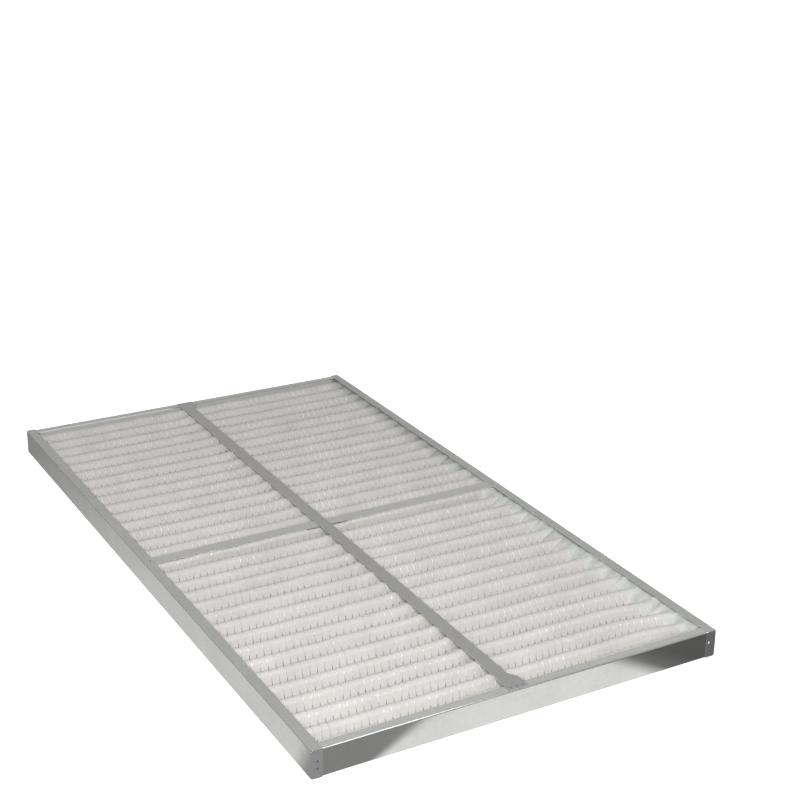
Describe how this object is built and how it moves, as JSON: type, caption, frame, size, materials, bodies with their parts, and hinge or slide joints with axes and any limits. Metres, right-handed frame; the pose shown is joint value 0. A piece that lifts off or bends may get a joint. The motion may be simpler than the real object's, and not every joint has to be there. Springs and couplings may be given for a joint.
{
  "type": "panel air filter",
  "caption": "Long shallow framed air filter: white pleated media between wire screens in a galvanised sheet steel frame with flat stiffening strips.",
  "frame": {"origin": "middle of the back face, on the plane of the back flanges", "axes": "+X across the panel to the right, +Y along the panel from the near end to the far end, +Z through its depth from the back face to the front face with the long strip"},
  "size_m": [0.72, 1.3212, 0.0486],
  "materials": {
    "galvanised_channel": "satin galvanised sheet",
    "galvanised_strip": "satin galvanised strip",
    "filter_media": "matt non-woven",
    "screen_wire": "bright galvanised wire",
    "sealant": "matt",
    "rivet": "satin"
  },
  "bodies": {
    "root": {"left_channel": "galvanised_channel", "right_channel": "galvanised_channel", "near_end_channel": "galvanised_channel", "far_end_channel": "galvanised_channel", "front_long_strip": "galvanised_strip", "front_cross_strip": "galvanised_strip", "back_cross_strip": "galvanised_strip", "pleated_media": "filter_media", "front_wire_screen": "screen_wire", "back_wire_screen": "screen_wire", "left_sealant_bead": "sealant", "right_sealant_bead": "sealant", "near_sealant_bead": "sealant", "far_sealant_bead": "sealant", "left_tab_rivets": "rivet", "right_tab_rivets": "rivet", "front_cross_strip_rivets": "rivet", "back_cross_strip_rivets": "rivet", "long_strip_rivets": "rivet"}
  },
  "joints": []
}
